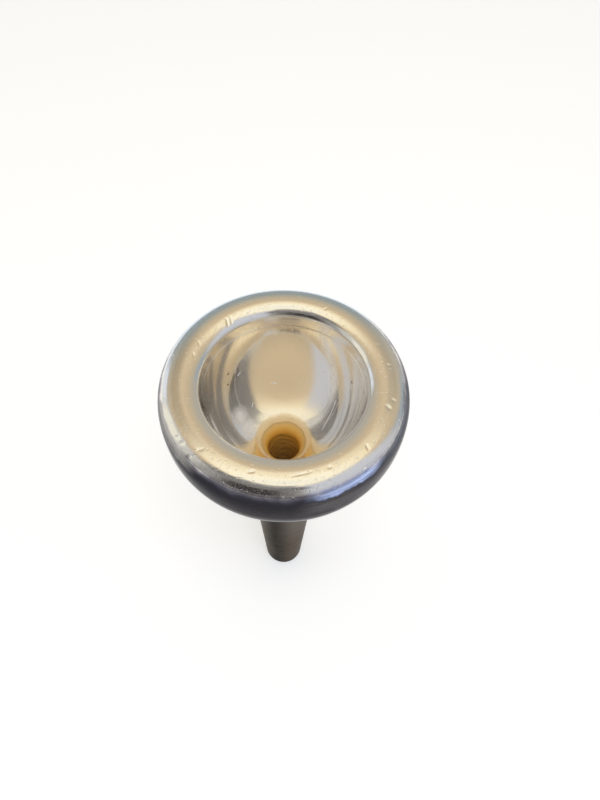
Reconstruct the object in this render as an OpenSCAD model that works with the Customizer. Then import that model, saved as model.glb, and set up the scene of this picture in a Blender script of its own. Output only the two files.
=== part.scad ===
// Screw-together brass mouthpiece of trombone size, silver plated.
// A rim screws down onto the cup, the cup screws down onto the shank, and each joint has a seal ring.
// The axis is Z, the shank's end is at z = 0 and the rim's crest is at the top.

/* [Overall] */
// Height from the shank's end to the rim's crest
total_h = 86; // [82:0.5:91]

/* [Rim] */
// Widest diameter of the rim
rim_d = 39; // [38:0.1:41]
// Diameter of the crest, the highest circle of the rim
crest_d = 31; // [29:0.1:33]
// Inside diameter at the foot of the lip, which is also the mouth of the cup
bite_d = 25.4; // [24.5:0.1:26]
// Depth of the bite's edge below the crest
bite_depth = 1.5; // [1:0.1:2]
// Depth of the widest circle below the crest
belly_depth = 6.35; // [5:0.05:7.5]
// How square the outer edge is, where 2 is an ellipse
rim_squareness = 2.9; // [2:0.1:4]
// Height of the rim from its foot to its crest
rim_h = 11.6; // [11:0.1:13]
// Outside diameter of the rim's foot
rim_foot_d = 34; // [33.5:0.1:36]
// Height of the lip that covers the top of the cup's neck
lip_h = 3.4; // [2.4:0.1:3.6]
// How far the lip's wall leans in, from the bite's edge down to the cup
lip_lean = 0.1; // [0:0.05:0.2]

/* [Cup] */
// Depth of the cup from the crest to the straight throat
cup_depth = 23.5; // [22.5:0.1:24.5]
// How far the bowl's wall keeps its direction below the lip
bowl_reach = 13; // [11:0.5:16]
// How far the bowl's wall leans in over that reach
bowl_lean = 0.75; // [0:0.05:1.2]
// How far above the throat its rounded shoulder starts
shoulder_reach = 4.4; // [3:0.1:6]
// Diameter of the throat
throat_d = 5.9; // [5:0.1:6.4]
// Length of the straight throat
throat_h = 4; // [3:0.1:5]
// Outside diameter of the cup under the rim
cup_top_d = 33.2; // [32.6:0.1:33.4]
// Outside diameter of the cup's foot, and of the collar that it stands on
collar_d = 15.4; // [15:0.1:18]
// How far the cup's outside keeps its direction below the rim
outside_top_reach = 4; // [2:0.5:12]
// How far the cup's outside keeps its direction above the collar
outside_foot_reach = 18; // [10:0.5:20]

/* [Shank] */
// Length of the shank from its end to the collar's top face
shank_h = 48; // [46:0.1:49]
// Outside diameter of the shank's end
shank_end_d = 9.6; // [9.4:0.05:11]
// Length over which the shank grows by 1 mm in diameter
taper_run = 12; // [11:0.1:20]
// Inside diameter of the backbore at the shank's end
backbore_end_d = 8.4; // [7:0.1:8.6]
// Height of the collar's straight edge
collar_h = 1.8; // [1:0.1:3]
// Height of the cove under the collar
cove_h = 2; // [1:0.1:3]

/* [Threads] */
// Pitch of both threads
pitch = 1; // [0.8:0.05:1.1]
// Radial height of both threads
thread_h = 0.5; // [0.4:0.05:0.55]
// Outside diameter of the thread on the cup's neck
neck_thread_d = 29; // [28.8:0.1:29.2]
// Outside diameter of the thread on the shank's spigot
spigot_thread_d = 10; // [9.6:0.1:10.4]
// Height of the plain pilot below each thread
pilot_h = 2.2; // [1.8:0.1:2.6]
// How far the pilot's radius stands out past the thread
pilot_step = 0.2; // [0.15:0.05:0.3]

/* [Seals] */
// Thickness of the seal rings
seal_w = 1; // [0.8:0.05:1.1]

/* [Fits] */
// Radial gap between the crests and roots of mating threads
thread_gap = 0.12; // [0.1:0.01:0.16]
// Gap between the flanks of mating threads, along the axis
flank_gap = 0.12; // [0.1:0.01:0.14]
// Radial gap between each pilot and its bore
pilot_gap = 0.06; // [0.05:0.01:0.1]
// Gap round each seal ring in its seat
seal_gap = 0.06; // [0.05:0.01:0.1]
// Gap left under the rim's foot and over the spigot's end, so that the other faces close first
face_gap = 0.1; // [0.05:0.01:0.2]
// Chamfer that breaks the sharp edges
edge = 0.15; // [0.05:0.05:0.25]

/* [Hidden] */
$fn = 96;
curve_steps = 32;
neck_sides = 40;
spigot_sides = 32;
// Plain lengths before and after each thread
relief_h = 0.4;
lead_h = 0.4;
// How deep a thread's root lies inside the wall that carries it
thread_bury = 0.2;
// Share of the depth that is left where a thread runs out
run_out = 0.15;
// Flank angle of the threads, from the plane square to the axis
flank_angle = 30;

rim_r = rim_d / 2;
crest_r = crest_d / 2;
bite_r = bite_d / 2;
rim_foot_r = rim_foot_d / 2;
throat_r = throat_d / 2;
cup_top_r = cup_top_d / 2;
collar_r = collar_d / 2;
shank_end_r = shank_end_d / 2;
backbore_end_r = backbore_end_d / 2;

// Heights above the shank's end
lip_z = total_h - lip_h;
belly_z = total_h - belly_depth;
rim_foot_z = total_h - rim_h;
cup_shoulder_z = rim_foot_z - face_gap;
throat_z = total_h - cup_depth;
socket_z = throat_z - throat_h;
spigot_z = socket_z - face_gap;
collar_foot_z = shank_h - collar_h;
cove_z = collar_foot_z - cove_h;

// Radii of the two joints, from the screwed-in part to the part around it
neck_crest_r = neck_thread_d / 2;
spigot_crest_r = spigot_thread_d / 2;
function root_r(crest) = crest - thread_h;
function nut_crest_r(crest) = root_r(crest) + thread_gap;
function nut_root_r(crest) = crest + thread_gap;
function pitch_line_r(crest) = (crest + nut_crest_r(crest)) / 2;
function pilot_r(crest) = crest + pilot_step;
function pilot_bore_r(crest) = pilot_r(crest) + pilot_gap;
function seal_r(crest) = pilot_r(crest) + seal_gap + seal_w / 2;
function seat_r(crest) = seal_r(crest) + seal_w / 2 + seal_gap;
seat_h = seal_w + 2 * seal_gap;

function shank_r(z) = shank_end_r + z / taper_run / 2;

// A cubic curve from a to d that leaves a towards b and reaches d from c
function curve(a, b, c, d) = [for (i = [0 : curve_steps])
    let (t = i / curve_steps, s = 1 - t)
    s * s * s * a + 3 * s * s * t * b + 3 * s * t * t * c + t * t * t * d];

// A quarter round between two points, upright at the first and level at the second
function quarter(upright, level, squareness = 2) = [for (i = [0 : curve_steps])
    let (angle = 90 * i / curve_steps,
         across = pow(cos(angle), 2 / squareness),
         along = pow(sin(angle), 2 / squareness))
    [level.x + (upright.x - level.x) * across, upright.y + (level.y - upright.y) * along]];

function reversed(points) = [for (i = [len(points) - 1 : -1 : 0]) points[i]];

// A corner of a profile, broken by a chamfer whose two ends point along before and after
function broken(corner, before, after) = [corner + edge * before, corner + edge * after];
up = [0, 1];
down = [0, -1];
out = [1, 0];
in = [-1, 0];

// A screw ridge round the Z axis, right handed, from its root radius to its crest radius.
// Mating ridges leave the flank's gap between them on the pitch line.
module ridge(root, crest, pitch_line, low_z, turns, sides) {
    side = sign(crest - root);
    root_at = root - side * thread_bury;
    slope = tan(flank_angle);
    function half_width(r) = (pitch / 2 - flank_gap) / 2 - slope * side * (r - pitch_line);
    steps = ceil(turns * sides);
    fade_steps = sides / 4;
    function share(i) = max(run_out, min(1, i / fade_steps, (steps - i) / fade_steps));
    function crest_at(i) = root_at + (crest - root_at) * share(i);
    points = [for (i = [0 : steps])
        let (angle = i * 360 / sides,
             z = low_z + i * pitch / sides,
             section = [[root_at, -half_width(root_at)], [crest_at(i), -half_width(crest)],
                        [crest_at(i), half_width(crest)], [root_at, half_width(root_at)]])
        for (p = section) [p.x * cos(angle), p.x * sin(angle), z + p.y]];
    walls = [for (i = [0 : steps - 1], k = [0 : 3])
        let (a = 4 * i + k, b = 4 * i + (k + 1) % 4)
        each [[a, a + 4, b], [b, a + 4, b + 4]]];
    last = 4 * steps;
    ends = [[0, 1, 2], [0, 2, 3], [last, last + 2, last + 1], [last, last + 3, last + 2]];
    faces = concat(walls, ends);
    polyhedron(points, side > 0 ? [for (f = faces) reversed(f)] : faces);
}

// The ridges of a joint lie between two heights, and the nut's ridge runs half a pitch above the other
module screw_ridge(crest, low_z, high_z, sides) {
    ridge(root_r(crest), crest, pitch_line_r(crest), low_z + pitch / 2, (high_z - low_z) / pitch - 1, sides);
}
module nut_ridge(crest, low_z, high_z, sides) {
    ridge(nut_root_r(crest), nut_crest_r(crest), pitch_line_r(crest), low_z + pitch,
          (high_z - low_z) / pitch - 1.5, sides);
}

neck_thread_low = cup_shoulder_z + pilot_h + relief_h;
neck_thread_high = lip_z - lead_h;
spigot_thread_low = shank_h + pilot_h + relief_h;
spigot_thread_high = spigot_z - lead_h;

// The bore of a nut, from its foot up to its floor: the seal's seat, the pilot's bore and the thread's root
function nut_bore(crest, foot_z, pilot_foot_z, floor_z) = [
    [seat_r(crest), foot_z],
    [seat_r(crest), foot_z + seat_h],
    [pilot_bore_r(crest), foot_z + seat_h],
    [pilot_bore_r(crest), pilot_foot_z + pilot_h + face_gap],
    [nut_root_r(crest), pilot_foot_z + pilot_h + relief_h],
    [nut_root_r(crest), floor_z]];

// The outside of a screwed-in spigot, from its foot up to its end
function spigot(crest, foot_z, end_z) = concat(
    [[pilot_r(crest), foot_z],
     [pilot_r(crest), foot_z + pilot_h - edge],
     [pilot_r(crest) - edge, foot_z + pilot_h],
     [root_r(crest), foot_z + pilot_h]],
    broken([root_r(crest), end_z], down, in));

module rim() {
    color("silver") {
        rotate_extrude() polygon(concat(
            reversed(quarter([rim_r, belly_z], [rim_foot_r, rim_foot_z])),
            quarter([rim_r, belly_z], [crest_r, total_h], rim_squareness),
            reversed(quarter([bite_r + lip_lean, total_h - bite_depth], [crest_r, total_h])),
            broken([bite_r, lip_z], up, out),
            reversed(nut_bore(neck_crest_r, rim_foot_z, cup_shoulder_z, lip_z))));
        nut_ridge(neck_crest_r, neck_thread_low, neck_thread_high, neck_sides);
    }
}

module cup() {
    bowl = curve([bite_r, lip_z - edge], [bite_r - bowl_lean, lip_z - bowl_reach],
                 [throat_r, throat_z + shoulder_reach], [throat_r, throat_z]);
    outside = curve([cup_top_r, cup_shoulder_z - edge], [cup_top_r, cup_shoulder_z - outside_top_reach],
                    [collar_r, shank_h + outside_foot_reach], [collar_r, shank_h + edge]);
    color("silver") {
        rotate_extrude() polygon(concat(
            [[bite_r + edge, lip_z]],
            reversed(spigot(neck_crest_r, cup_shoulder_z, lip_z)),
            [[cup_top_r - edge, cup_shoulder_z]],
            outside,
            [[collar_r - edge, shank_h]],
            nut_bore(spigot_crest_r, shank_h, shank_h, socket_z),
            [[throat_r, socket_z]],
            reversed(bowl)));
        screw_ridge(neck_crest_r, neck_thread_low, neck_thread_high, neck_sides);
        nut_ridge(spigot_crest_r, spigot_thread_low, spigot_thread_high, spigot_sides);
    }
}

module shank() {
    cove = curve([shank_r(cove_z), cove_z], [shank_r(cove_z + cove_h / 2), cove_z + cove_h / 2],
                 [collar_r - edge - cove_h / 2, collar_foot_z - edge], [collar_r - edge, collar_foot_z - edge]);
    color("silver") {
        rotate_extrude() polygon(concat(
            [[backbore_end_r, 0], [shank_end_r - edge, 0], [shank_r(edge), edge]],
            cove,
            [[collar_r, collar_foot_z]],
            broken([collar_r, shank_h], down, in),
            spigot(spigot_crest_r, shank_h, spigot_z),
            [[throat_r, spigot_z]]));
        screw_ridge(spigot_crest_r, spigot_thread_low, spigot_thread_high, spigot_sides);
    }
}

// A round seal in the seat at a nut's foot
module seal_ring(crest, foot_z) {
    color("dimgray")
        translate([0, 0, foot_z + seal_gap + seal_w / 2])
            rotate_extrude()
                translate([seal_r(crest), 0]) circle(d = seal_w);
}

module rim_o_ring() seal_ring(neck_crest_r, rim_foot_z);
module shank_o_ring() seal_ring(spigot_crest_r, shank_h);

rim();
rim_o_ring();
cup();
shank_o_ring();
shank();
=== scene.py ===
"""A screw-together brass mouthpiece in worn silver plate, dressed for the camera.

The rim, cup and shank are turned again as dense lathe meshes, so that the polished surfaces reflect
cleanly, and the rim has the nicks of use. Lengths are in millimetres until they become mesh points,
angles are in degrees and colours are linear.
"""
import collections
import functools
import math

import bpy
import numpy as np
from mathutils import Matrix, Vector


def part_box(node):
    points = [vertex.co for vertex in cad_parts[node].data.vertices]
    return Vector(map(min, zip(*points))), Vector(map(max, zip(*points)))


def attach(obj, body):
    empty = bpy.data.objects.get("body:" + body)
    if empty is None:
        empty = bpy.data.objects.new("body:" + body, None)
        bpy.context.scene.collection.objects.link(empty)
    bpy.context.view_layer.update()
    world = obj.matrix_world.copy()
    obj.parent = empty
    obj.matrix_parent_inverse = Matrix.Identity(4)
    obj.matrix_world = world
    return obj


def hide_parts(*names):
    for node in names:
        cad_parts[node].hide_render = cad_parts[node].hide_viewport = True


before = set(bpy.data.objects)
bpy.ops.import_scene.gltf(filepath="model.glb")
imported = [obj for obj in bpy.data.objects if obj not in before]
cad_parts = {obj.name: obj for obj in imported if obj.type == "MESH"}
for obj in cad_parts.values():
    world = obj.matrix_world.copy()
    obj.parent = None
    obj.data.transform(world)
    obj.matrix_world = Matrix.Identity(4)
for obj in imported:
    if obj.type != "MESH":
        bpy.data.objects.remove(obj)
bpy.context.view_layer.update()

# Sizes that the frame holds
MM = 0.001
rim_low, rim_high = (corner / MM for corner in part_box("rim"))
cup_low, cup_high = (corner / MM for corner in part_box("cup"))
shank_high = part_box("shank")[1] / MM
TOP_Z = rim_high.z
RIM_R = rim_high.x
RIM_FOOT_Z = rim_low.z
LIP_Z = cup_high.z
CUP_TOP_R = cup_high.x
COLLAR_R = shank_high.x
COLLAR_Z = cup_low.z
SPIGOT_Z = shank_high.z

# Sizes of the rim
CREST_R = 15.5
BITE_R = 12.7
BITE_DEPTH = 1.5
LIP_LEAN = 0.1
BELLY_DEPTH = 6.35
BELLY_Z = TOP_Z - BELLY_DEPTH
SQUARENESS = 2.9
RIM_FOOT_R = 17
# The gap between two faces that a thread draws together
FACE_GAP = 0.1
# Sizes of the cup
CUP_SHOULDER_Z = RIM_FOOT_Z - FACE_GAP
BOWL_REACH = 13
BOWL_LEAN = 0.75
SHOULDER_REACH = 4.4
THROAT_R = 2.95
THROAT_DEPTH = 23.5
THROAT_Z = TOP_Z - THROAT_DEPTH
SOCKET_Z = SPIGOT_Z + FACE_GAP
OUTSIDE_TOP_REACH = 4
OUTSIDE_FOOT_REACH = 18
# Sizes of the shank
SHANK_END_R = 4.8
TAPER_RUN = 12
BACKBORE_END_R = 4.2
COLLAR_H = 1.8
COVE_H = 2
# Sizes of the threads and their seals
PITCH = 1
NECK_CREST_R = 14.5
SPIGOT_CREST_R = 5
THREAD_H = 0.5
THREAD_GAP = 0.12
FLANK_GAP = 0.12
FLANK_SLOPE = math.tan(math.radians(30))
PILOT_H = 2.2
PILOT_STEP = 0.2
PILOT_GAP = 0.06
PILOT_HEADROOM = 0.1
RELIEF_H = 0.4
LEAD_H = 0.4
SEAL_W = 1
SEAL_GAP = 0.06
EDGE = 0.15
SEAM_EDGE = 0.07
# A thread's ridge grows from this share of its height over this part of a turn, at either end
RUN_OUT = 0.15
RUN_OUT_TURN = 0.25
# Where the threads start and end
NECK_LOW_Z = CUP_SHOULDER_Z + PILOT_H + RELIEF_H
NECK_HIGH_Z = LIP_Z - LEAD_H
SPIGOT_LOW_Z = COLLAR_Z + PILOT_H + RELIEF_H
SPIGOT_HIGH_Z = SPIGOT_Z - LEAD_H

# How fine the meshes are
ROW_STEP = 0.12
THREAD_STEP = 0.06
CURVE_POINTS = 600
ROUND_POINTS = 2000
RIM_SIDES = 640
CUP_SIDES = 384
SHANK_SIDES = 256
SHARP_ANGLE = math.radians(32)

# The nicks on the rim, each at an angle round it and a radius from the axis:
# angle, radius, length along the slant, width, depth, slant from the way round
NICKS = [
    (130, 14.0, 1.3, 0.35, 0.09, 62),
    (127, 14.0, 1.2, 0.30, 0.07, 66),
    (154, 14.7, 0.9, 0.25, 0.04, 40),
    (163, 14.4, 0.8, 0.25, 0.04, 30),
    (101, 14.2, 0.7, 0.25, 0.05, 80),
    (63, 15.0, 0.6, 0.25, 0.05, 70),
    (8, 16.0, 0.6, 0.30, 0.05, 50),
    (-14, 16.4, 0.7, 0.35, 0.07, 80),
    (-19, 16.0, 0.9, 0.45, 0.08, 55),
    (-45, 16.3, 0.8, 0.30, 0.06, 60),
    (-67, 15.9, 0.5, 0.35, 0.05, 20),
    (-80, 15.7, 2.2, 0.22, 0.04, 4),
    (-84, 15.9, 1.6, 0.20, 0.03, 6),
    (-106, 15.9, 0.9, 0.35, 0.06, 25),
    (-134, 16.6, 0.9, 0.35, 0.06, 50),
    (-143, 17.7, 0.7, 0.40, 0.07, 40),
    (-147, 17.8, 0.6, 0.40, 0.06, 40),
    (-136, 18.2, 0.8, 0.45, 0.08, 30),
    (-52, 18.3, 0.9, 0.45, 0.08, 20),
    (-57, 19.0, 0.8, 0.50, 0.09, 30),
    (-103, 19.3, 0.6, 0.40, 0.08, 0)]

# The clean plate, how much a surface that isn't metal shines, and the limits of the smudges' drift
PLATE = (0.96, 0.94, 0.90)
SPECULAR = 0.06
SMUDGE_LOW, SMUDGE_HIGH = 0.3, 0.7
# How much of its metal's mirror a place loses where it is rubbed or scratched
DULLING = 0.8
# How long the fine scratches are for their width, and the step in their grain from none to full
FINE_LENGTH = 30
FINE_EDGE = 0.04

# In what follows, a side is the angles that it spans round the axis and how soft its ends are, and
# depths are below the rim's crest. Four depths or radii are where a band starts, is full, fades
# and ends.

# The rim's tarnish by its depth, on the near side, where its black is also a painted dark reflection,
# and on the paler far side
TARNISH_RUN = 12
TARNISH_AND_DARK_REFLECTION = [
    (0.85, PLATE),
    (1.05, (0.62, 0.60, 0.61)),
    (1.20, (0.29, 0.28, 0.30)),
    (1.45, (0.11, 0.105, 0.13)),
    (1.9, (0.038, 0.036, 0.048)),
    (2.6, (0.029, 0.028, 0.035)),
    (4.4, (0.038, 0.035, 0.037)),
    (7.2, (0.048, 0.043, 0.040))]
FAR_SIDE_TARNISH = [
    (0.85, PLATE),
    (2.0, (0.36, 0.35, 0.34)),
    (9.6, (0.24, 0.225, 0.205))]
FAR_TARNISH_SIDE = (40, 140), 60
# The right side, where the tarnish starts higher as a painted shade, and by how much
RIGHT_SHADE_SIDE = (-16, 48), 24
RIGHT_SHADE_START = 0.42
# How the tarnish dims the reflections at a grazing angle, by its depth, and how much it hides the metal
GRAZING = [(1.0, (1, 1, 1)), (2.2, (0.50, 0.50, 0.52))]
HIDING_DEPTHS = 1.2, 3.2
HIDING = 0.2
# The paler underside
UNDERSIDE_DEPTHS = 6.4, 11.6
UNDERSIDE_SHARE = 0.8
UNDERSIDE = (0.19, 0.175, 0.16)
# The bluish outer margin of the rim's top, on its far side, partly tarnish and partly a painted
# reflection of cool light, and the crest's band dimmed on the left and right sides, a painted shade
# where its highlight is weaker
MARGIN_RADII = 15.6, 16.6
MARGIN_SIDE = (35, 165), 40
MARGIN_TINT = (0.69, 0.83, 1.0)
CREST_SHADE_RADII = 15.2, 15.8, 16.5, 17.1
CREST_SIDE_SHADES = [
    (((155, 222), 40), (0.74, 0.74, 0.75)),
    (((-24, 36), 40), (0.80, 0.84, 0.90))]
# Painted reflections on the tarnish, as paler and bluish patches: the side, the depths that each spans,
# and its colour
FLANK_REFLECTIONS = [
    (((-80, -34), 16), (2.6, 6.0), (0.130, 0.122, 0.126)),
    (((-76, -45), 14), (1.0, 2.2), (0.48, 0.59, 0.95)),
    (((-172, -136), 14), (1.0, 2.9), (0.42, 0.41, 0.385)),
    (((-42, -8), 20), (1.0, 2.7), (0.15, 0.16, 0.19))]
FLANK_REFLECTION_EDGE = 0.3
# The lip's wall, and the bowl just below it, rubbed to a dull gold on the far side, partly wear and
# partly a painted reflection
LIP_WEAR_AND_SHEEN_DEPTHS = 1.5, 2.1, 3.6, 4.4
LIP_WEAR_AND_SHEEN_SIDE = (62, 122), 50
LIP_WEAR_AND_SHEEN_SHARE = 0.5
LIP_GOLD = (1.0, 0.86, 0.62)
# How deep the rim's scuffs and pits go, for lathe marks one deep
SCUFF_DEPTH = 1.5
PIT_DEPTH = 5.0

# The plate's wear round the throat, by the distance out from the throat's edge, negative in the bore,
# with a painted highlight at the throat's edge and a painted shade line about 1 mm out
WEAR_REACH = 4
THROAT_WEAR_AND_PAINTED_LIGHT = [
    (-3.0, (0.86, 0.56, 0.15)),
    (-0.3, (0.78, 0.47, 0.09)),
    # A painted highlight at the throat's edge
    (0.05, (0.92, 0.55, 0.11)),
    (0.5, (0.88, 0.59, 0.20)),
    (0.9, (0.80, 0.57, 0.25)),
    # A painted shade line
    (1.02, (0.60, 0.45, 0.22)),
    (1.15, (0.92, 0.72, 0.42)),
    (1.6, (0.95, 0.79, 0.53)),
    (2.0, (0.96, 0.85, 0.66)),
    (2.3, PLATE)]
BORE_RINGS = (0.20, 0.13, 0.035)
# The distances out over which the dull brass gives way to plate and to its polish
PLATED_FROM = 1.5, 2.2
SMOOTH_FROM = 1.5, 2.3
BARE_METALLIC = 0.1
BARE_ROUGHNESS = 0.40
# A painted shade on the bowl's left wall
LEFT_WALL_SHADE_SIDE = (150, 215), 30
LEFT_WALL_SHADE_DEPTHS = 4.0, 5.6, 8.2, 9.8
LEFT_WALL_SHADE_TINT = (0.84, 0.83, 0.84)
# Marks in the bowl, each at an angle round the axis, a radius and a depth: specks with their size and
# colour, frosted spots with their size, and single scratches with their two ends and their width
SPECKS = [
    ((144.0, 11.58, 9.2), 0.42, (0.22, 0.17, 0.12)),
    ((149.0, 11.02, 10.75), 0.42, (0.24, 0.18, 0.12)),
    ((20.6, 11.99, 7.83), 0.42, (0.06, 0.05, 0.05)),
    ((1.8, 12.55, 4.86), 0.36, (0.08, 0.07, 0.07))]
FROST = [
    ((163.0, 7.9, 16.0), 3.0),
    ((169.0, 6.4, 17.9), 3.0)]
SCRATCHES = [
    ((25.1, 10.11, 12.68), (2.7, 6.54, 17.71), 0.20),
    ((137.0, 10.96, 10.90), (132.0, 11.07, 10.60), 0.18),
    ((98.0, 8.70, 14.95), (105.0, 8.95, 14.60), 0.16),
    ((135.0, 7.75, 16.25), (140.1, 7.32, 16.77), 0.14),
    ((53.0, 10.86, 11.12), (48.0, 11.10, 10.56), 0.12)]
MARK_COLOUR = (0.96, 0.96, 0.97)
# How soft the edges of a speck, a frosted spot and a scratch are, as a share of its width, the share
# of a scratch's half length over which its tip fades, and how rough a full mark is
SPECK_SOFT = 0.3
FROST_SOFT = 0.7
SCRATCH_SOFT = 0.4
SCRATCH_TIP = 0.2
MARK_ROUGHNESS = 0.4

# The tarnish of the cup's outside and the shank, each in a darker and a paler tone
DULL = (0.225, 0.205, 0.188), (0.290, 0.262, 0.236)
# The near side's darker tones, and the darker stripe on it, are painted shade
NEAR_SIDE_SHADE = (0.165, 0.148, 0.138), (0.215, 0.188, 0.166)
DARK_STRIPE = (0.010, 0.009, 0.008), (0.018, 0.016, 0.014)
NEAR_SIDE_SHADE_SIDE = (-165, -15), 50
DARK_STRIPE_SIDE = (-132, -88), 56
# The height over which the near side's painted shade comes in at the cup's foot, and the depths over
# which it browns
NEAR_SIDE_SHADE_FADE = 12
BROWNING_DEPTHS = 50, 68
BROWNING = (0.62, 0.55, 0.46)

# The room's walls by the sine of the elevation, and the soft panels on them:
# azimuths and elevations that each spans, how soft those edges are, and its radiance
WALLS = [
    (0.00, (0.42, 0.41, 0.38)),
    (0.50, (0.45, 0.41, 0.34)),
    (0.67, (0.51, 0.44, 0.33)),
    (0.77, (0.56, 0.45, 0.30)),
    (0.85, (0.64, 0.51, 0.34)),
    (0.914, (0.92, 0.79, 0.54)),
    (0.961, (1.03, 0.94, 0.71)),
    (0.990, (1.00, 0.94, 0.76)),
    (1.00, (0.92, 0.88, 0.76))]
PANELS = [
    ((54, 86), (-20, 28), (12, 14), (0.34, 0.39, 0.43)),
    ((88, 172), (-20, 68), (30, 16), (0.58, 0.60, 0.66)),
    ((100, 175), (-40, 26), (30, 16), (0.50, 0.51, 0.56)),
    ((-128, -68), (-40, 48), (12, 14), (0.56, 0.55, 0.52)),
    ((-96, -70), (-40, 38), (10, 12), (0.84, 0.81, 0.70)),
    ((-68, -48), (-40, 28), (12, 14), (0.74, 0.79, 0.86)),
    ((164, 246), (-40, 75), (12, 8), (0.32, 0.31, 0.30)),
    ((158, 196), (46, 63), (12, 8), (0.18, 0.175, 0.17)),
    ((192, 258), (46, 66), (24, 10), (0.21, 0.20, 0.195)),
    ((170, 230), (14, 46), (16, 12), (0.17, 0.155, 0.15)),
    ((184, 222), (10, 48), (14, 12), (0.05, 0.046, 0.046))]
# Enough mirror bounces for the deep bowl
MIRROR_BOUNCES = 10
# The floor, in metres, and how much of its white is its own
FLOOR_HALF = 3.0
FLOOR_COLOUR = (0.87, 0.89, 0.92)
FLOOR_GLOW = 0.36
FLOOR_GLOW_COLOUR = (0.96, 0.98, 1)
# The top light: its size and distance in metres, the azimuth and elevation that it stands at, its
# colour and its radiance
LAMP_SIZE = 0.50
LAMP_DISTANCE = 0.8
LAMP_WAY = 170, 70
LAMP_COLOUR = (0.95, 0.97, 1.0)
LAMP_RADIANCE = 4.0
# The camera: how far it is from the middle of the rim's crest, at what elevation it stands, how far
# down it looks, its lens, and how near a thing it still shows
CAMERA_DISTANCE = 80.45
CAMERA_ELEVATION = math.radians(56.24)
CAMERA_PITCH = math.radians(58.64)
LENS = 24.27
SENSOR_WIDTH = 36
LENS_SHIFT = 0.0204
NEAREST = 1


def even(points, step=ROW_STEP):
    """The same line with its points evenly spaced."""
    legs = np.linalg.norm(np.diff(points, axis=0), axis=1)
    along = np.concatenate([[0], np.cumsum(legs)])
    places = np.linspace(0, along[-1], max(2, round(along[-1] / step) + 1))
    return np.column_stack([np.interp(places, along, points[:, k]) for k in (0, 1)])


def bezier(a, b, c, d):
    """A cubic curve from a to d that leaves a towards b and reaches d from c."""
    a, b, c, d = (np.array(p, float) for p in (a, b, c, d))
    t = np.linspace(0, 1, CURVE_POINTS)[:, None]
    s = 1 - t
    return even(s**3 * a + 3 * s**2 * t * b + 3 * s * t**2 * c + t**3 * d)


def quarter(upright, level, squareness=2):
    """A quarter round between two points, upright at the first and level at the second."""
    t = np.linspace(0, math.pi / 2, ROUND_POINTS)
    across = np.cos(t).clip(0) ** (2 / squareness)
    along = np.sin(t) ** (2 / squareness)
    radii = level[0] + (upright[0] - level[0]) * across
    heights = upright[1] + (level[1] - upright[1]) * along
    return even(np.column_stack([radii, heights]))


def straight(*points, step=ROW_STEP):
    """Straight legs between the points, with rows along each."""
    legs = [even(np.array(leg, float), step) for leg in zip(points, points[1:])]
    return np.vstack([leg[:-1] for leg in legs] + [legs[-1][-1:]])


class Thread:
    """A right-hand screw thread on a wall between two heights.

    It stands out from the wall or, in a nut, into the bore.
    """

    def __init__(self, crest_r, low_z, high_z, nut):
        root_r = crest_r - THREAD_H
        nut_crest_r = root_r + THREAD_GAP
        turns_below = 1 if nut else 0.5
        turns_above = 0.5
        self.side = -1 if nut else 1
        self.wall_r = crest_r + THREAD_GAP if nut else root_r
        self.crest_r = nut_crest_r if nut else crest_r
        self.pitch_line_r = (crest_r + nut_crest_r) / 2
        self.start_z = low_z + turns_below * PITCH
        self.turns = (high_z - low_z) / PITCH - turns_below - turns_above

    def radius(self, heights, angles):
        """The wall's radius at each height and angle, with the ridge on it."""
        turn = angles[None, :] / (2 * math.pi)
        lap = (heights[:, None] - self.start_z) / PITCH - turn
        off_ridge = np.abs(lap - np.round(lap)) * PITCH
        along = turn + np.round(lap)
        fade = np.minimum(along, self.turns - along) / RUN_OUT_TURN
        share = np.where(fade < 0, 0, np.clip(fade, RUN_OUT, 1))
        half_width = (PITCH / 2 - FLANK_GAP) / 2
        pitch_line = self.side * (self.pitch_line_r - self.wall_r)
        height = pitch_line + (half_width - off_ridge) / FLANK_SLOPE
        top = self.side * (self.crest_r - self.wall_r) * share
        return self.wall_r + self.side * np.clip(height, 0, top)


def dent_depth(rows, angles):
    """How deep the nicks go at each row and angle."""
    depth = np.zeros((len(rows), len(angles)))
    steps = np.concatenate([[0], np.cumsum(np.linalg.norm(np.diff(rows, axis=0), axis=1))])
    for angle, radius, length, width, deep, slant in NICKS:
        shown = rows[:, 1] > (BELLY_Z if radius >= CREST_R else TOP_Z - BITE_DEPTH)
        same_side = (rows[:, 0] >= CREST_R) == (radius >= CREST_R)
        row = np.argmin(np.where(shown & same_side, np.abs(rows[:, 0] - radius), np.inf))
        across = (steps - steps[row])[:, None]
        turn = (angles - math.radians(angle) + math.pi) % (2 * math.pi) - math.pi
        around = (turn * radius)[None, :]
        slant = math.radians(slant)
        u = (around * math.cos(slant) + across * math.sin(slant)) / (length / 2)
        v = (across * math.cos(slant) - around * math.sin(slant)) / (width / 2)
        depth += deep * np.exp(-(u**4) - v**2)
    return depth


# A stretch of a lathe's outline, with its material and its thread, if any
Section = collections.namedtuple("Section", "outline material thread", defaults=[None])


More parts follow.
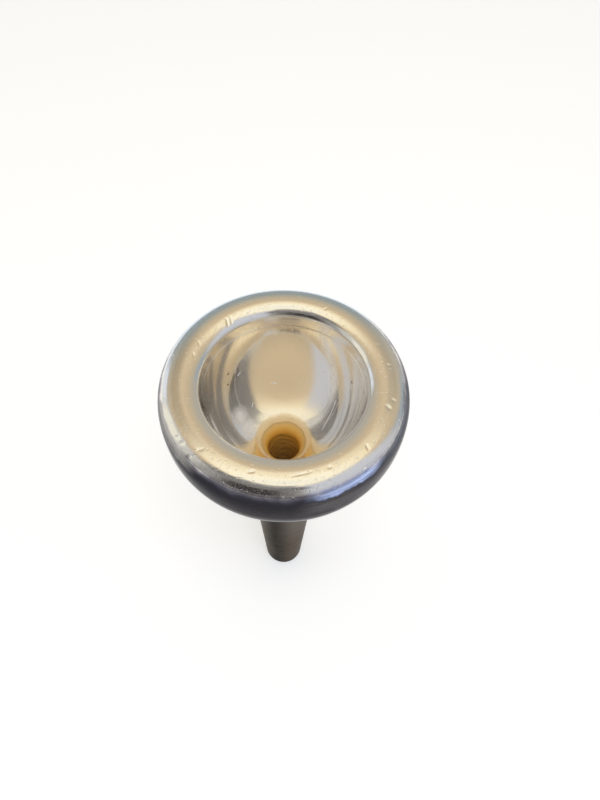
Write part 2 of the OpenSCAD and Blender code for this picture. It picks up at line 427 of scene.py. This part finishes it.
def turned(name, sections, sides, materials, dents=False):
    """A lathe mesh round the axis, from the sections of its closed outline."""
    rows = np.vstack([section.outline[:-1] for section in sections])
    counts = [len(section.outline) - 1 for section in sections]
    angles = np.arange(sides) * 2 * math.pi / sides
    radii = np.repeat(rows[:, :1], sides, axis=1)
    heights = np.repeat(rows[:, 1:], sides, axis=1)
    first = 0
    for section, count in zip(sections, counts):
        last = first + count
        if section.thread:
            radii[first:last] = section.thread.radius(rows[first:last, 1], angles)
        first = last
    if dents:
        along = np.roll(rows, -1, axis=0) - np.roll(rows, 1, axis=0)
        along /= np.linalg.norm(along, axis=1)[:, None]
        depth = dent_depth(rows, angles)
        radii -= depth * along[:, 1:]
        heights += depth * along[:, :1]
    points = np.stack([radii * np.cos(angles), radii * np.sin(angles), heights], axis=2) * MM
    row, col = np.meshgrid(np.arange(len(rows)), np.arange(sides), indexing="ij")
    next_row, next_col = (row + 1) % len(rows), (col + 1) % sides
    corners = ((row, col), (row, next_col), (next_row, next_col), (next_row, col))
    faces = np.stack([r * sides + c for r, c in corners], axis=2).reshape(-1, 4)
    mesh = bpy.data.meshes.new(name)
    mesh.from_pydata(points.reshape(-1, 3), [], faces)
    for material in materials:
        mesh.materials.append(material)
    numbers = [materials.index(section.material) for section in sections]
    face_numbers = np.repeat(np.repeat(numbers, counts), sides).astype(np.int32)
    mesh.polygons.foreach_set("material_index", face_numbers)
    mesh.shade_smooth()
    mesh.set_sharp_from_angle(angle=SHARP_ANGLE)
    return linked(name, mesh)


def linked(name, data):
    """A new object in the scene that shows a mesh, a lamp or a camera."""
    thing = bpy.data.objects.new(name, data)
    bpy.context.scene.collection.objects.link(thing)
    return thing


def dress(piece, body, node):
    """The piece stands for a CAD node and moves with its body."""
    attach(piece, body)
    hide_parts(node)


def feed(tree, socket, value):
    """Set an input to a value, or link it from another node's output."""
    if isinstance(value, bpy.types.NodeSocket):
        tree.links.new(value, socket)
    else:
        socket.default_value = value


def add(tree, kind, inputs=None, **settings):
    """A new node with its settings, and its inputs as values or as other nodes' outputs."""
    node = tree.nodes.new(kind)
    for key, value in settings.items():
        setattr(node, key, value)
    for key, value in (inputs or {}).items():
        feed(tree, node.inputs[key], value)
    return node


def math_node(tree, operation, *values):
    """The result of an operation on one, two or three values."""
    return add(tree, "ShaderNodeMath", dict(enumerate(values)), operation=operation).outputs[0]


def product(tree, *factors):
    """The factors multiplied together."""
    return functools.reduce(functools.partial(math_node, tree, "MULTIPLY"), factors)


def greatest(tree, *values):
    """The greatest of the values."""
    return functools.reduce(functools.partial(math_node, tree, "MAXIMUM"), values)


def vector_math(tree, operation, inputs):
    """The outputs of an operation on vectors, Vector and Value."""
    return add(tree, "ShaderNodeVectorMath", inputs, operation=operation).outputs


def map_range(tree, value, from_low, from_high, to_low, to_high, **settings):
    """The value moved from one range into another, and held between its ends."""
    limits = {"From Min": from_low, "From Max": from_high, "To Min": to_low, "To Max": to_high}
    node = add(tree, "ShaderNodeMapRange", {"Value": value, **limits}, **settings)
    return node.outputs["Result"]


def hump(tree, value, start, rise_end, fall_start, end):
    """0 outside the start and the end, and 1 between the rise and the fall."""
    rise = map_range(tree, value, start, rise_end, 0, 1)
    return product(tree, rise, map_range(tree, value, fall_start, end, 1, 0))


def window(tree, value, span, soft, round_trip=None):
    """1 within a span of degrees and 0 outside it, with soft edges, for a value in radians."""
    low, high = (math.radians(end) for end in span)
    off = math_node(tree, "SUBTRACT", value, (low + high) / 2)
    if round_trip:
        off = math_node(tree, "WRAP", off, round_trip / 2, -round_trip / 2)
    off = math_node(tree, "ABSOLUTE", off)
    half, edge = (high - low) / 2, math.radians(soft) / 2
    return map_range(tree, off, half + edge, half - edge, 0, 1, interpolation_type="SMOOTHSTEP")


def ramp(tree, factor, stops):
    """A colour for each value of the factor, between stops of a place and a colour."""
    node = add(tree, "ShaderNodeValToRGB", {"Fac": factor})
    elements = node.color_ramp.elements
    while len(elements) < len(stops):
        elements.new(1)
    for element, (place, colour) in zip(elements, stops):
        element.position = place
        element.color = (*colour, 1)
    return node.outputs["Color"]


def mix(tree, factor, a, b, blend="MIX"):
    """Colour a with a share of colour b mixed in."""
    node = add(tree, "ShaderNodeMix", data_type="RGBA", blend_type=blend)
    factor_socket, a_socket, b_socket = (node.inputs[k] for k in (0, 6, 7))
    feed(tree, factor_socket, factor)
    for socket, colour in ((a_socket, a), (b_socket, b)):
        feed(tree, socket, (*colour, 1) if isinstance(colour, tuple) else colour)
    return node.outputs[2]


def tint(tree, share, colour, shade):
    """The colour with a share of the shade multiplied on."""
    return mix(tree, share, colour, shade, blend="MULTIPLY")


def noise(tree, vector, scale, detail=2.0, roughness=0.5):
    """A cloudy value about one half, finer for a larger scale."""
    inputs = {"Vector": vector, "Scale": scale, "Detail": detail, "Roughness": roughness}
    return add(tree, "ShaderNodeTexNoise", inputs).outputs["Fac"]


def point(place):
    """The point at an angle round the axis, a radius from it and a depth below the rim's crest."""
    angle, radius, depth = place
    angle = math.radians(angle)
    return Vector((radius * math.cos(angle), radius * math.sin(angle), TOP_Z - depth))


class Surface:
    """A material with the coordinates that its wear follows, in millimetres."""

    def __init__(self, name):
        self.material = bpy.data.materials.new(name)
        self.material.use_nodes = True
        self.tree = self.material.node_tree
        self.shader = self.tree.nodes["Principled BSDF"]
        place = add(self.tree, "ShaderNodeTexCoord").outputs["Object"]
        self.place = vector_math(self.tree, "SCALE", {0: place, "Scale": 1 / MM})["Vector"]
        x, y, self.height = add(self.tree, "ShaderNodeSeparateXYZ", {0: self.place}).outputs
        flat = add(self.tree, "ShaderNodeCombineXYZ", {"X": x, "Y": y}).outputs[0]
        self.radius = vector_math(self.tree, "LENGTH", {0: flat})["Value"]
        self.turn = math_node(self.tree, "ARCTAN2", y, x)
        rings = {"X": self.radius, "Y": self.height, "Z": self.turn}
        self.rings = add(self.tree, "ShaderNodeCombineXYZ", rings).outputs[0]

    @functools.cached_property
    def depth(self):
        """How far below the rim's crest a place is."""
        return math_node(self.tree, "SUBTRACT", TOP_Z, self.height)

    @functools.cached_property
    def smudges(self):
        """Broad clouds, drifting about one half."""
        return noise(self.tree, self.place, 0.35, detail=4, roughness=0.6)

    def finish(self, inputs, bump_height, bump_distance):
        """The material, with the shader's inputs and a bump on its surface."""
        bump = {"Height": bump_height, "Distance": bump_distance * MM, "Strength": 1.0}
        normal = add(self.tree, "ShaderNodeBump", bump).outputs["Normal"]
        for key, value in {**inputs, "Specular IOR Level": SPECULAR, "Normal": normal}.items():
            feed(self.tree, self.shader.inputs[key], value)
        return self.material

    def drift(self, low, high):
        """A value between two limits that follows the smudges."""
        return map_range(self.tree, self.smudges, SMUDGE_LOW, SMUDGE_HIGH, low, high)

    def tones(self, darker, paler):
        """A colour between two tones that follows the smudges."""
        return ramp(self.tree, self.smudges, [(SMUDGE_LOW, darker), (SMUDGE_HIGH, paler)])

    def lathe_marks(self, scale):
        """Fine rings round the axis."""
        return noise(self.tree, self.rings, scale, detail=3)

    def side(self, span, soft):
        """1 between two angles round the axis and 0 elsewhere, with soft ends."""
        return window(self.tree, self.turn, span, soft, round_trip=2 * math.pi)

    def spot(self, place, size, soft):
        """1 within a round spot of a size at a place, with a soft edge."""
        away = vector_math(self.tree, "DISTANCE", {0: self.place, 1: point(place)})["Value"]
        return map_range(self.tree, away, size * (1 + soft) / 2, size * (1 - soft) / 2, 0, 1)

    def scratch(self, start, end, width):
        """1 along a single straight mark on the bowl, between two places."""
        start, end = point(start), point(end)
        middle = (start + end) / 2
        inwards = Vector((-middle.x, -middle.y, middle.xy.length))
        across = (end - start).cross(inwards).normalized()
        off = vector_math(self.tree, "SUBTRACT", {0: self.place, 1: middle})["Vector"]
        aside = vector_math(self.tree, "DOT_PRODUCT", {0: off, 1: across})["Value"]
        aside = math_node(self.tree, "ABSOLUTE", aside)
        outer, inner = (width * (1 + edge) / 2 for edge in (SCRATCH_SOFT, -SCRATCH_SOFT))
        line = map_range(self.tree, aside, outer, inner, 0, 1)
        away = vector_math(self.tree, "LENGTH", {0: off})["Value"]
        half = (end - start).length / 2
        return product(self.tree, line, map_range(self.tree, away, half, half * (1 - SCRATCH_TIP), 0, 1))

    def fine_scratches(self, slant, scale, amount):
        """Fine straight marks at a slant across the surface, as a share of it from 0 to 1."""
        place = self.place
        for axis, angle in zip(("Z_AXIS", "X_AXIS"), slant):
            inputs = {"Vector": place, "Angle": math.radians(angle)}
            place = add(self.tree, "ShaderNodeVectorRotate", inputs, rotation_type=axis).outputs[0]
        scales = (scale, scale, scale / FINE_LENGTH)
        stretched = vector_math(self.tree, "MULTIPLY", {0: place, 1: scales})["Vector"]
        grain = noise(self.tree, stretched, 1.0, detail=1.0)
        return map_range(self.tree, grain, 1 - amount, 1 - amount + FINE_EDGE, 0, 1)

    def lip_wear_and_sheen(self):
        """The share of the plate that is rubbed to a dull gold, on the lip's wall and just below it,
        partly wear and partly a painted reflection.
        """
        inside = math_node(self.tree, "LESS_THAN", self.radius, CREST_R)
        band = hump(self.tree, self.depth, *LIP_WEAR_AND_SHEEN_DEPTHS)
        return product(self.tree, band, LIP_WEAR_AND_SHEEN_SHARE, inside, self.side(*LIP_WEAR_AND_SHEEN_SIDE))


def rim_plate():
    """Silver plate, polished on the crest, and tarnished blue and black down the outside; the black is
    also a painted dark reflection, the paler and bluish patches are painted reflections, and the crest's
    sides carry painted shade.
    """
    plate = Surface("rim_plate")
    tree = plate.tree
    outside = math_node(tree, "GREATER_THAN", plate.radius, CREST_R)
    # On the right side the tarnish starts higher, a painted shade on the rim's right edge
    shaded_depth = math_node(tree, "MULTIPLY_ADD", plate.side(*RIGHT_SHADE_SIDE), RIGHT_SHADE_START, plate.depth)
    ragged = product(tree, plate.drift(0.85, 1.15), shaded_depth)
    tarnish = product(tree, ragged, outside, 1 / TARNISH_RUN)

    def by_tarnish(stops):
        """A colour for each depth of the tarnish."""
        return ramp(tree, tarnish, [(depth / TARNISH_RUN, colour) for depth, colour in stops])

    underside = map_range(tree, plate.depth, *UNDERSIDE_DEPTHS, 0, UNDERSIDE_SHARE)
    # The near side's black tarnish is also a painted dark reflection; the far side gets a paler tarnish
    colour = mix(tree, underside, by_tarnish(TARNISH_AND_DARK_REFLECTION), UNDERSIDE)
    colour = mix(tree, plate.side(*FAR_TARNISH_SIDE), colour, by_tarnish(FAR_SIDE_TARNISH))
    # The far side's outer margin is tinted bluish, partly tarnish and partly a painted reflection of
    # cool light
    margin = map_range(tree, plate.radius, *MARGIN_RADII, 0, 1)
    colour = tint(tree, product(tree, margin, plate.side(*MARGIN_SIDE)), colour, MARGIN_TINT)
    # The crest's band is dimmed on the left and right sides, a painted shade where its highlight is
    # weaker
    crest_band = hump(tree, plate.radius, *CREST_SHADE_RADII)
    for side, shade in CREST_SIDE_SHADES:
        colour = tint(tree, product(tree, crest_band, plate.side(*side)), colour, shade)
    # Paler and bluish patches on the tarnish, broken up by cloudy noise, are painted reflections
    reflection_breakup = map_range(tree, noise(tree, plate.rings, 2.5, detail=3), 0.35, 0.6, 0.45, 1)
    for side, (start, end), reflection_colour in FLANK_REFLECTIONS:
        band = hump(
            tree, ragged, start - FLANK_REFLECTION_EDGE, start + FLANK_REFLECTION_EDGE, end - FLANK_REFLECTION_EDGE, end + FLANK_REFLECTION_EDGE)
        patch = product(tree, plate.side(*side), band, outside, reflection_breakup)
        colour = mix(tree, patch, colour, reflection_colour)
    # The dull gold band on the far lip is partly wear and partly a painted reflection
    lip_wear_and_sheen = plate.lip_wear_and_sheen()
    hiding = (depth / TARNISH_RUN for depth in HIDING_DEPTHS)
    plated = map_range(tree, tarnish, *hiding, 1, 1 - HIDING)
    scuffs = plate.fine_scratches(slant=(25, 80), scale=9, amount=0.36)
    pits = map_range(tree, noise(tree, plate.place, 2.4, detail=0.0), 0.715, 0.79, 0, 1)
    wear = math_node(tree, "MULTIPLY_ADD", scuffs, SCUFF_DEPTH, product(tree, pits, PIT_DEPTH))
    bump_height = math_node(tree, "SUBTRACT", plate.lathe_marks(6), wear)
    inputs = {
        "Base Color": mix(tree, lip_wear_and_sheen, colour, LIP_GOLD),
        "Metallic": math_node(tree, "SUBTRACT", plated, product(tree, lip_wear_and_sheen, DULLING)),
        "Specular Tint": by_tarnish(GRAZING),
        "Roughness": math_node(tree, "MULTIPLY_ADD", scuffs, 0.12, plate.drift(0.06, 0.11))}
    return plate.finish(inputs, bump_height, bump_distance=0.003)


def bowl_plate():
    """The inside of the cup and the bore: plate that has worn to brass round the throat, with a painted
    highlight and shade line there, painted shade on the left wall, and a dull gold band on the far lip
    that is partly a painted reflection.
    """
    plate = Surface("bowl_plate")
    tree = plate.tree
    below = math_node(tree, "MINIMUM", math_node(tree, "SUBTRACT", plate.height, THROAT_Z), 0.0)
    out = math_node(tree, "ADD", math_node(tree, "SUBTRACT", plate.radius, THROAT_R), below)
    ragged = math_node(tree, "ADD", out, plate.drift(-0.1, 0.1))
    wear = map_range(tree, ragged, -WEAR_REACH, WEAR_REACH, 0, 1)
    # Brass worn through round the throat, with a painted highlight at the throat's edge and a painted
    # shade line about 1 mm out
    colour = ramp(tree, wear, [((place / WEAR_REACH + 1) / 2, tone) for place, tone in THROAT_WEAR_AND_PAINTED_LIGHT])
    rings = map_range(tree, plate.lathe_marks(1.6), 0.45, 0.62, 0, 0.45)
    in_bore = map_range(tree, out, -0.2, 0.0, 1, 0)
    colour = mix(tree, product(tree, rings, in_bore), colour, BORE_RINGS)
    # The bowl's left wall is darkened, a painted shade
    left_wall_shade = product(tree, plate.side(*LEFT_WALL_SHADE_SIDE), hump(tree, plate.depth, *LEFT_WALL_SHADE_DEPTHS))
    colour = tint(tree, left_wall_shade, colour, LEFT_WALL_SHADE_TINT)
    for place, size, tone in SPECKS:
        colour = mix(tree, plate.spot(place, size, SPECK_SOFT), colour, tone)
    # The dull gold band on the far lip is partly wear and partly a painted reflection
    lip_wear_and_sheen = plate.lip_wear_and_sheen()
    colour = mix(tree, lip_wear_and_sheen, colour, LIP_GOLD)
    frost = [plate.spot(place, size, FROST_SOFT) for place, size in FROST]
    marks = greatest(tree, *frost, *(plate.scratch(*scratch) for scratch in SCRATCHES))
    rubbed = greatest(tree, marks, lip_wear_and_sheen)
    plated = map_range(tree, ragged, *PLATED_FROM, BARE_METALLIC, 1.0)
    bared = map_range(tree, ragged, *SMOOTH_FROM, BARE_ROUGHNESS, 0.0)
    dullness = greatest(tree, bared, product(tree, rubbed, MARK_ROUGHNESS), plate.drift(0.04, 0.07))
    steep = plate.fine_scratches(slant=(0, 8), scale=11, amount=0.37)
    slanting = plate.fine_scratches(slant=(50, 35), scale=9, amount=0.34)
    scratches = greatest(tree, steep, slanting)
    bump_height = math_node(tree, "SUBTRACT", plate.lathe_marks(5), scratches)
    inputs = {
        "Base Color": mix(tree, marks, colour, MARK_COLOUR),
        "Metallic": math_node(tree, "SUBTRACT", plated, product(tree, rubbed, DULLING)),
        "Roughness": math_node(tree, "MULTIPLY_ADD", scratches, 0.16, dullness)}
    return plate.finish(inputs, bump_height, bump_distance=0.002)


def tarnished_plate():
    """The dull outside of the cup and the shank, darker on the near side with a darker stripe there,
    both painted shade.
    """
    plate = Surface("tarnished_plate")
    tree = plate.tree
    # The near side's darker tones and its darker stripe are painted shade
    shaded_front = mix(tree, plate.side(*DARK_STRIPE_SIDE), plate.tones(*NEAR_SIDE_SHADE), plate.tones(*DARK_STRIPE))
    browned = map_range(tree, plate.depth, *BROWNING_DEPTHS, 0, 1)
    shaded_front = tint(tree, browned, shaded_front, BROWNING)
    below_cup = map_range(tree, plate.height, COLLAR_Z + NEAR_SIDE_SHADE_FADE, COLLAR_Z, 0, 1)
    # Where the near side's painted shade lies: down the shank, fading up the cup
    rubbed = product(tree, plate.side(*NEAR_SIDE_SHADE_SIDE), below_cup)
    inputs = {
        "Base Color": mix(tree, rubbed, plate.tones(*DULL), shaded_front),
        "Metallic": 0.8,
        "Specular Tint": (0.5, 0.48, 0.46, 1),
        "Roughness": plate.drift(0.34, 0.46)}
    return plate.finish(inputs, plate.lathe_marks(8), bump_distance=0.004)


def bare_brass():
    """The threads and the seats of the seals, which were never plated."""
    brass = Surface("bare_brass")
    inputs = {
        "Base Color": ramp(brass.tree, brass.smudges, [
            (0.30, (0.42, 0.26, 0.08)),
            (0.55, (0.62, 0.42, 0.16)),
            (0.75, (0.75, 0.54, 0.24))]),
        "Metallic": 0.9,
        "Roughness": brass.drift(0.24, 0.36)}
    return brass.finish(inputs, brass.lathe_marks(9), bump_distance=0.006)


def seal_rubber():
    """Black rubber with a dry bloom."""
    rubber = Surface("seal_rubber")
    grain = noise(rubber.tree, rubber.place, 6, detail=4)
    inputs = {
        "Base Color": ramp(rubber.tree, grain, [
            (0.35, (0.018, 0.018, 0.018)),
            (0.70, (0.045, 0.044, 0.042))]),
        "Roughness": map_range(rubber.tree, grain, 0.3, 0.7, 0.45, 0.65)}
    return rubber.finish(inputs, grain, bump_distance=0.01)


def nut_bore(crest_r, foot_z, pilot_foot_z):
    """The corners of a nut's bore, from its foot up to where its thread starts."""
    seat_r = crest_r + PILOT_STEP + SEAL_W + 2 * SEAL_GAP
    bore_r = crest_r + PILOT_STEP + PILOT_GAP
    seat_top_z = foot_z + SEAL_W + 2 * SEAL_GAP
    pilot_top_z = pilot_foot_z + PILOT_H
    return [
        (seat_r, foot_z), (seat_r, seat_top_z), (bore_r, seat_top_z),
        (bore_r, pilot_top_z + PILOT_HEADROOM), (crest_r + THREAD_GAP, pilot_top_z + RELIEF_H)]


def spigot(crest_r, foot_z):
    """The corners of a spigot's pilot, from its foot up to where its thread starts."""
    radius = crest_r + PILOT_STEP
    top_z = foot_z + PILOT_H
    return [
        (radius, foot_z), (radius, top_z - EDGE), (radius - EDGE, top_z), (crest_r - THREAD_H, top_z)]


def make_rim(plate, brass):
    """The rim, from its foot up over the crest to the lip, and down its bore."""
    bore = nut_bore(NECK_CREST_R, RIM_FOOT_Z, CUP_SHOULDER_Z)[::-1]
    wall_r = bore[0][0]
    thread = Thread(NECK_CREST_R, NECK_LOW_Z, NECK_HIGH_Z, nut=True)
    foot = (RIM_FOOT_R, RIM_FOOT_Z)
    belly = (RIM_R, BELLY_Z)
    crest = (CREST_R, TOP_Z)
    bite = (BITE_R + LIP_LEAN, TOP_Z - BITE_DEPTH)
    seam = (BITE_R + SEAM_EDGE, LIP_Z)
    sections = [
        Section(quarter(belly, foot)[::-1], plate),
        Section(quarter(belly, crest, SQUARENESS), plate),
        Section(quarter(bite, crest)[::-1], plate),
        Section(straight(bite, (BITE_R, LIP_Z + SEAM_EDGE), seam), plate),
        Section(straight(seam, (wall_r, LIP_Z)), brass),
        Section(straight((wall_r, LIP_Z), bore[0], step=THREAD_STEP), brass, thread),
        Section(straight(*bore), brass),
        Section(straight(bore[-1], foot), plate)]
    return turned("rim_worn", sections, RIM_SIDES, [plate, brass], dents=True)


def make_cup(bowl, tarnished, brass):
    """The cup, from its lip down the neck and the outside, and up the socket, throat and bowl."""
    neck = spigot(NECK_CREST_R, CUP_SHOULDER_Z)[::-1]
    neck_top = (NECK_CREST_R - THREAD_H, LIP_Z - EDGE)
    neck_thread = Thread(NECK_CREST_R, NECK_LOW_Z, NECK_HIGH_Z, nut=False)
    bore = nut_bore(SPIGOT_CREST_R, COLLAR_Z, COLLAR_Z)
    socket_top = (bore[-1][0], SOCKET_Z)
    socket_thread = Thread(SPIGOT_CREST_R, SPIGOT_LOW_Z, SPIGOT_HIGH_Z, nut=True)
    outside_top = (CUP_TOP_R, CUP_SHOULDER_Z - EDGE)
    outside = bezier(
        outside_top, (CUP_TOP_R, CUP_SHOULDER_Z - OUTSIDE_TOP_REACH),
        (COLLAR_R, COLLAR_Z + OUTSIDE_FOOT_REACH), (COLLAR_R, COLLAR_Z + EDGE))
    throat_foot = (THROAT_R, SOCKET_Z)
    throat_top = (THROAT_R, THROAT_Z)
    lip = (BITE_R, LIP_Z - SEAM_EDGE)
    seam = (BITE_R + SEAM_EDGE, LIP_Z)
    inside = bezier(
        lip, (BITE_R - BOWL_LEAN, LIP_Z - BOWL_REACH),
        (THROAT_R, THROAT_Z + SHOULDER_REACH), throat_top)
    sections = [
        Section(straight(seam, (neck_top[0] - EDGE, LIP_Z), neck_top), brass),
        Section(straight(neck_top, neck[0], step=THREAD_STEP), brass, neck_thread),
        Section(straight(*neck), brass),
        Section(straight(neck[-1], (CUP_TOP_R - EDGE, CUP_SHOULDER_Z), outside_top), tarnished),
        Section(outside, tarnished),
        Section(straight((COLLAR_R, COLLAR_Z + EDGE), (COLLAR_R - EDGE, COLLAR_Z), bore[0]), tarnished),
        Section(straight(*bore), brass),
        Section(straight(bore[-1], socket_top, step=THREAD_STEP), brass, socket_thread),
        Section(straight(socket_top, throat_foot), brass),
        Section(straight(throat_foot, throat_top), bowl),
        Section(inside[::-1], bowl),
        Section(straight(lip, seam), bowl)]
    return turned("cup_worn", sections, CUP_SIDES, [bowl, tarnished, brass])


def shank_point(z):
    """The point on the shank's taper at a height."""
    return (SHANK_END_R + z / TAPER_RUN / 2, z)


def make_shank(tarnished, brass, bowl):
    """The shank, from its end up the taper, collar and spigot, and down the backbore."""
    collar_foot_z = COLLAR_Z - COLLAR_H
    cove_z = collar_foot_z - COVE_H
    cove_end = (COLLAR_R - EDGE, collar_foot_z - EDGE)
    cove = bezier(
        shank_point(cove_z), shank_point(cove_z + COVE_H / 2),
        (cove_end[0] - COVE_H / 2, cove_end[1]), cove_end)
    collar_top = (COLLAR_R - EDGE, COLLAR_Z)
    pilot = spigot(SPIGOT_CREST_R, COLLAR_Z)
    spigot_top = (SPIGOT_CREST_R - THREAD_H, SPIGOT_Z - EDGE)
    thread = Thread(SPIGOT_CREST_R, SPIGOT_LOW_Z, SPIGOT_HIGH_Z, nut=False)
    backbore_end = (BACKBORE_END_R, 0)
    throat = (THROAT_R, SPIGOT_Z)
    taper = straight(backbore_end, (SHANK_END_R - EDGE, 0), shank_point(EDGE), shank_point(cove_z))
    collar = straight(cove_end, (COLLAR_R, collar_foot_z), (COLLAR_R, COLLAR_Z - EDGE), collar_top)
    sections = [
        Section(taper, tarnished),
        Section(cove, tarnished),
        Section(collar, tarnished),
        Section(straight(collar_top, *pilot), brass),
        Section(straight(pilot[-1], spigot_top, step=THREAD_STEP), brass, thread),
        Section(straight(spigot_top, (spigot_top[0] - EDGE, SPIGOT_Z), throat), brass),
        Section(straight(throat, backbore_end), bowl)]
    return turned("shank_worn", sections, SHANK_SIDES, [tarnished, brass, bowl])


def make_pieces():
    """The three turned parts, and the seal rings in rubber."""
    plate = rim_plate()
    bowl = bowl_plate()
    tarnished = tarnished_plate()
    brass = bare_brass()
    rubber = seal_rubber()
    dress(make_rim(plate, brass), "rim", "rim")
    dress(make_cup(bowl, tarnished, brass), "cup", "cup")
    dress(make_shank(tarnished, brass, bowl), "shank", "shank")
    for node in ("rim_o_ring", "shank_o_ring"):
        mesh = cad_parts[node].data
        mesh.materials.clear()
        mesh.materials.append(rubber)


def make_floor():
    """A plain pale floor that shows as near white, and keeps the object's shadow."""
    corners = [(x * FLOOR_HALF, y * FLOOR_HALF, 0) for x, y in ((-1, -1), (1, -1), (1, 1), (-1, 1))]
    mesh = bpy.data.meshes.new("floor")
    mesh.from_pydata(corners, [], [(0, 1, 2, 3)])
    material = bpy.data.materials.new("floor")
    material.use_nodes = True
    tree = material.node_tree
    path = add(tree, "ShaderNodeLightPath").outputs
    seen = greatest(tree, path["Is Camera Ray"], path["Is Glossy Ray"], path["Is Transmission Ray"])
    inputs = {
        "Base Color": (*FLOOR_COLOUR, 1),
        "Roughness": 0.9,
        "Specular IOR Level": 0.1,
        "Emission Color": (*FLOOR_GLOW_COLOUR, 1),
        "Emission Strength": product(tree, seen, FLOOR_GLOW)}
    for key, value in inputs.items():
        feed(tree, tree.nodes["Principled BSDF"].inputs[key], value)
    mesh.materials.append(material)
    linked("floor", mesh)


def make_world():
    """Soft surroundings: walls that brighten upwards, with pale and dim panels on them."""
    world = bpy.data.worlds.new("studio")
    world.use_nodes = True
    bpy.context.scene.world = world
    tree = world.node_tree
    look = add(tree, "ShaderNodeTexCoord").outputs["Generated"]
    across, along, up = add(tree, "ShaderNodeSeparateXYZ", {0: look}).outputs
    azimuth = math_node(tree, "ARCTAN2", across, along)
    elevation = math_node(tree, "ARCSINE", up)
    light = ramp(tree, up, WALLS)
    for azimuths, elevations, (soft_sideways, soft_upwards), radiance in PANELS:
        sideways = window(tree, azimuth, azimuths, soft_sideways, round_trip=2 * math.pi)
        upwards = window(tree, elevation, elevations, soft_upwards)
        light = mix(tree, product(tree, sideways, upwards), light, radiance)
    feed(tree, tree.nodes["Background"].inputs["Color"], light)


def direction(azimuth, elevation):
    """A unit vector: azimuth 0 is +Y, the far side of the object, and azimuth 90 is +X."""
    a, e = math.radians(azimuth), math.radians(elevation)
    return Vector((math.sin(a) * math.cos(e), math.cos(a) * math.cos(e), math.sin(e)))


def make_top_light():
    """A soft round lamp above and behind the camera, which mirrors don't show."""
    light = bpy.data.lights.new("top_light", "AREA")
    light.shape = "DISK"
    light.size = LAMP_SIZE
    light.color = LAMP_COLOUR
    disk_area = math.pi * (LAMP_SIZE / 2) ** 2
    light.energy = LAMP_RADIANCE * math.pi * disk_area
    lamp = linked("top_light", light)
    way = direction(*LAMP_WAY)
    lamp.location = Vector((0, 0, TOP_Z * MM)) + way * LAMP_DISTANCE
    lamp.rotation_euler = way.to_track_quat("Z", "Y").to_euler()
    lamp.visible_camera = False
    lamp.visible_glossy = False


def make_camera():
    """The photograph's view of the rim's crest, with a phone's wide lens."""
    camera = linked("camera", bpy.data.cameras.new("camera"))
    back = CAMERA_DISTANCE * math.cos(CAMERA_ELEVATION)
    up = CAMERA_DISTANCE * math.sin(CAMERA_ELEVATION)
    camera.location = Vector((0, -back, TOP_Z + up)) * MM
    camera.rotation_euler = (math.pi / 2 - CAMERA_PITCH, 0, 0)
    camera.data.lens = LENS
    camera.data.sensor_width = SENSOR_WIDTH
    camera.data.shift_x = LENS_SHIFT
    camera.data.clip_start = NEAREST * MM
    bpy.context.scene.camera = camera


make_pieces()
make_floor()
make_world()
make_top_light()
make_camera()
bpy.context.scene.view_settings.view_transform = "Standard"
bpy.context.scene.cycles.glossy_bounces = MIRROR_BOUNCES
